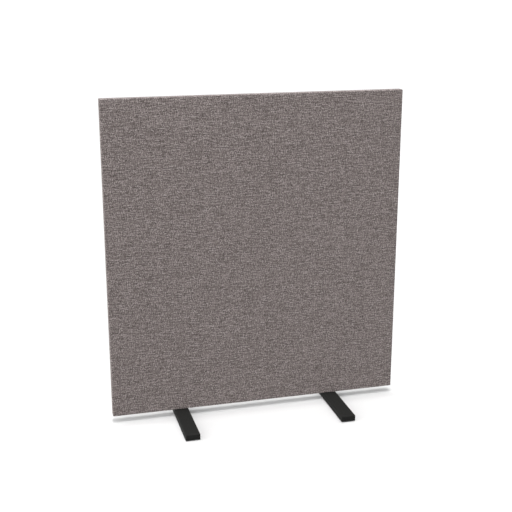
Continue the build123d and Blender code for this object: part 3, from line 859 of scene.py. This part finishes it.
def weld_tree():
    """Overlapping ripples of a weld bead, each a flattened drop."""
    tree, sizes = start_path_tree("weld_bead", ("Ripple length", "Bead radius", "Flatness"))
    drop = put(tree, "GeometryNodeMeshUVSphere", {"Segments": 8, "Rings": 5, "Radius": sizes["Bead radius"]})
    smooth = put(tree, "GeometryNodeSetShadeSmooth", {"Geometry": drop})
    uneven = put(tree, "FunctionNodeRandomValue", {
        "Min_001": WELD_SIZES[0], "Max_001": WELD_SIZES[1], "Seed": sizes["Seed"],
    }, data_type="FLOAT")
    thin = put(tree, "Math MULTIPLY", {0: uneven, 1: sizes["Flatness"]})
    scale = put(tree, "CombineXYZ", {"X": thin, "Y": uneven, "Z": uneven})
    return finish_path_tree(tree, sizes, sizes["Ripple length"], smooth, None, scale)


def made_along(name, tree, paths, values):
    """A tree's shapes along paths, as one plain mesh. A path that ends at its first point is closed."""
    points, edges = [], []
    for path in paths:
        start, closed = len(points), path[0] == path[-1]
        points += path[:-1] if closed else path
        edges += [(k, k + 1) for k in range(start, len(points) - 1)]
        if closed:
            edges.append((len(points) - 1, start))
    mesh = bpy.data.meshes.new(name + "_path")
    mesh.from_pydata(points, edges, [])
    piece = add_object(name, mesh)
    maker = piece.modifiers.new("made along path", "NODES")
    maker.node_group = tree
    for socket in tree.interface.items_tree:
        if socket.in_out == "INPUT" and socket.name in values:
            maker[socket.identifier] = values[socket.name]
    made = bpy.data.meshes.new_from_object(piece.evaluated_get(bpy.context.evaluated_depsgraph_get()))
    piece.modifiers.remove(maker)
    piece.data = made
    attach(piece, "screen")
    return piece


def seam_path():
    """The seam's line, up the left side, along the top and down the right side."""
    turn = CLOTH_CORNER_RADIUS - THREAD_DEPTH
    left, right = PANEL_LOW[0] + CLOTH_CORNER_RADIUS, PANEL_HIGH[0] - CLOTH_CORNER_RADIUS
    top = PANEL_HIGH[1] - CLOTH_CORNER_RADIUS
    bends = [(middle + turn * math.cos(angle), 0.0, top + turn * math.sin(angle))
             for middle, first in ((left, math.pi), (right, math.pi / 2))
             for angle in np.linspace(first, first - math.pi / 2, SEAM_BEND_POINTS)]
    foot = PANEL_LOW[1] + TURN_IN
    return [(bends[0][0], 0.0, foot)] + bends + [(bends[-1][0], 0.0, foot)]


def foot_welds(foot):
    """Paths of the welds under one foot: round its two bushes and down its four inside corners."""
    low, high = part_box(foot)
    middle = (low.x + high.x) / 2
    under_web = high.z - FOOT_SHEET - WELD_BELOW_WEB
    ring = [(middle + WELD_RING_RADIUS * math.cos(angle), WELD_RING_RADIUS * math.sin(angle))
            for angle in np.linspace(0, 2 * math.pi, WELD_RING_POINTS, endpoint=False)]
    paths = [[(x, end * GLIDE_Y + y, under_web) for x, y in ring + ring[:1]] for end in (-1, 1)]
    inset = FOOT_SHEET + WELD_OFF_WALL
    return paths + [[(x, y, low.z + WELD_BEAD), (x, y, under_web)]
                    for x in (low.x + inset, high.x - inset) for y in (low.y + inset, high.y - inset)]


felt_lining("front_felt_lining", "front_felt", -1)
felt_lining("rear_felt_lining", "rear_felt", 1)
for place in ("left", "right"):
    absorber_slab(f"front_{place}_wool_slab", f"front_{place}_absorber", -1)
    absorber_slab(f"rear_{place}_wool_slab", f"rear_{place}_absorber", 1)
cover_half("front_cover", "front_fabric", -1, (0.0, 0.0))
cover_half("rear_cover", "rear_fabric", 1, REAR_CLOTH_START)
closing_tape("stuck_closing_tape", "closing_tape")
made_along("cover_seam_stitches", stitch_tree(), [seam_path()], {
    "Stitch length": STITCH_LENGTH, "Thread radius": THREAD_RADIUS, "Reach": THREAD_REACH,
    "Arch": THREAD_ARCH, "Slant": THREAD_SLANT, "Seed": 4, "Material": seam_thread,
})
weld_bead = weld_tree()
for side in ("left", "right"):
    made_along(f"{side}_foot_weld_beads", weld_bead, foot_welds(f"{side}_foot"), {
        "Ripple length": WELD_RIPPLE, "Bead radius": WELD_BEAD, "Flatness": WELD_FLATNESS, "Seed": 9,
        "Material": black_coat,
    })
    for end in ("front", "rear"):
        threaded_stud(f"{side}_{end}_threaded_stud", f"{side}_{end}_glide_stud", f"{side}_{end}_glide")

timber_grain = {"top_rail": 0, "bottom_rail": 0, "left_stile": 2, "middle_stile": 2, "right_stile": 2}
node_finishes = {piece: made_material(f"planed_pine_{piece}", planed_pine, piece, along)
                 for piece, along in timber_grain.items()}
node_finishes |= {
    "frame_dowels": beech, "staples": zinc, "anchor_screws": zinc, "foot_washers": zinc, "foot_bolts": zinc,
    "glide_bushes": black_coat,
}
for side in ("left", "right"):
    node_finishes |= {
        f"{side}_barrier_board": hardboard, f"{side}_anchor_plate": zinc, f"{side}_foot": black_coat,
        f"{side}_front_glide_pad": nylon, f"{side}_rear_glide_pad": nylon,
    }
for name, finish in node_finishes.items():
    node_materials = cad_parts[name].data.materials
    node_materials.clear()
    node_materials.append(finish)

# Studio: a matt floor with painted light and shade, lighter towards the panel where the panel's broad shadow
# falls, a painted shadow some 55 mm out from the panel's line that draws out its contact shadow, and a shade
# darker further out so that no part of it glares; a sky that is brighter low on the left, a wide lamp
# straight overhead and a soft one high in front
FLOOR_REACH = 60.0
SKY_FRONT = 0.87
SKY_LEFT = 4.08
SKY_BELOW = 0.43
FLOOR_DROP = 0.1 * MM
corners = ((-1, -1), (1, -1), (1, 1), (-1, 1))


# Floor: concrete with a matt paint, and painted light and shade.
# The eye gets a light grey with no shine, painted lighter towards the panel, with a painted shadow about 55
# mm from the panel's line.
def painted_floor_light_and_shade(tree):
    spot = put(tree, "VectorMath ABSOLUTE", {0: put(tree, "TexCoord").outputs["Object"]})
    past_panel = put(tree, "VectorMath SUBTRACT", {0: spot, 1: (PANEL_HIGH[0], 0.0, 0.0)})
    outside = put(tree, "VectorMath MAXIMUM", {0: past_panel, 1: (0.0, 0.0, 0.0)})
    away = put(tree, "VectorMath LENGTH", {0: outside})
    # Painted light and shade by distance from the panel's line: light close in, a painted shadow at 55 mm,
    # lighter at 100 mm, then darker further out
    colour = put(tree, "ValToRGB", {"Fac": away}, stops=[
        (0.02, "e8e8e8"), (0.055, "dfdfdf"), (0.1, "e6e6e6"), (0.5, "e0e0e0"), (1.0, "dadada"),
    ])
    return {"Base Color": colour, "Roughness": 1.0, "Specular IOR Level": 0.0}


# The sky below the horizon stands for the light that the floor throws back
floor = add_mesh("floor", [(x * FLOOR_REACH, y * FLOOR_REACH, -FLOOR_DROP) for x, y in corners],
                 [(0, 1, 2, 3)], made_material("floor_paint_with_painted_shade", painted_floor_light_and_shade))
floor.visible_diffuse = False

world = bpy.data.worlds.new("studio")
scene.world = world
sky = empty_tree(world)
way = put(sky, "SeparateXYZ", {0: put(sky, "TexCoord").outputs["Generated"]})
leftward = put(sky, "Math MULTIPLY", {0: way.outputs["X"], 1: -1.0}, use_clamp=True)
lowness = put(sky, "Math SUBTRACT", {0: 1.0, 1: way.outputs["Z"]})
low_left = put(sky, "Math MULTIPLY", {0: leftward, 1: lowness})
upper = put(sky, "Math MULTIPLY_ADD", {0: low_left, 1: SKY_LEFT, 2: SKY_FRONT})
is_up = put(sky, "MapRange", {"Value": way.outputs["Z"], "From Min": -0.02, "From Max": 0.02})
strength = put(sky, "Mix", {"Factor": is_up, "A": SKY_BELOW, "B": upper})
put(sky, "OutputWorld", {"Surface": put(sky, "Background", {"Strength": strength})})

overhead = bpy.data.lights.new("overhead", "SUN")
overhead.energy = 1.75
overhead.angle = math.radians(5.2)
add_object("overhead", overhead).location = (0, 0, 4)

high_front = bpy.data.lights.new("high_front", "AREA")
high_front.shape = "DISK"
high_front.size = 1.2
high_front.energy = 11.0
lamp = add_object("high_front", high_front)
lamp.location = (-0.4, -1.6, 3.3)
lamp.rotation_euler = (math.radians(31), 0, math.radians(-14))

# White surround that only the camera sees
white_glow = bpy.data.materials.new("surround")
glow_tree = empty_tree(white_glow)
put(glow_tree, "OutputMaterial", {
    "Surface": put(glow_tree, "Emission", {"Color": paint("ffffff"), "Strength": 1.1}),
})
reach = FLOOR_REACH * 1.05
surround = add_mesh("surround", [(x * reach, y * reach, z) for z in (-1.0, reach) for x, y in corners], [
    (0, 1, 5, 4), (1, 2, 6, 5), (2, 3, 7, 6), (3, 0, 4, 7), (4, 5, 6, 7),
], white_glow)
surround.visible_diffuse = surround.visible_glossy = surround.visible_shadow = False
surround.visible_transmission = surround.visible_volume_scatter = False

# Camera at the photo's place, solved from the panel's edges and the feet: pixels, metres and degrees
FOCAL_LENGTH = 967.9
PHOTO_WIDTH = 512
CAMERA_PLACE = (-0.96647, -3.60851, 1.74363)
CAMERA_TILT = 16.297
CAMERA_TURN = 15.002
camera_data = bpy.data.cameras.new("camera")
camera_data.sensor_width = 36.0
camera_data.lens = FOCAL_LENGTH / PHOTO_WIDTH * camera_data.sensor_width
camera_data.clip_end = 500.0
camera = add_object("camera", camera_data)
camera.location = CAMERA_PLACE
camera.rotation_euler = (math.radians(90 - CAMERA_TILT), 0, math.radians(-CAMERA_TURN))
scene.camera = camera
scene.view_settings.view_transform = "Standard"
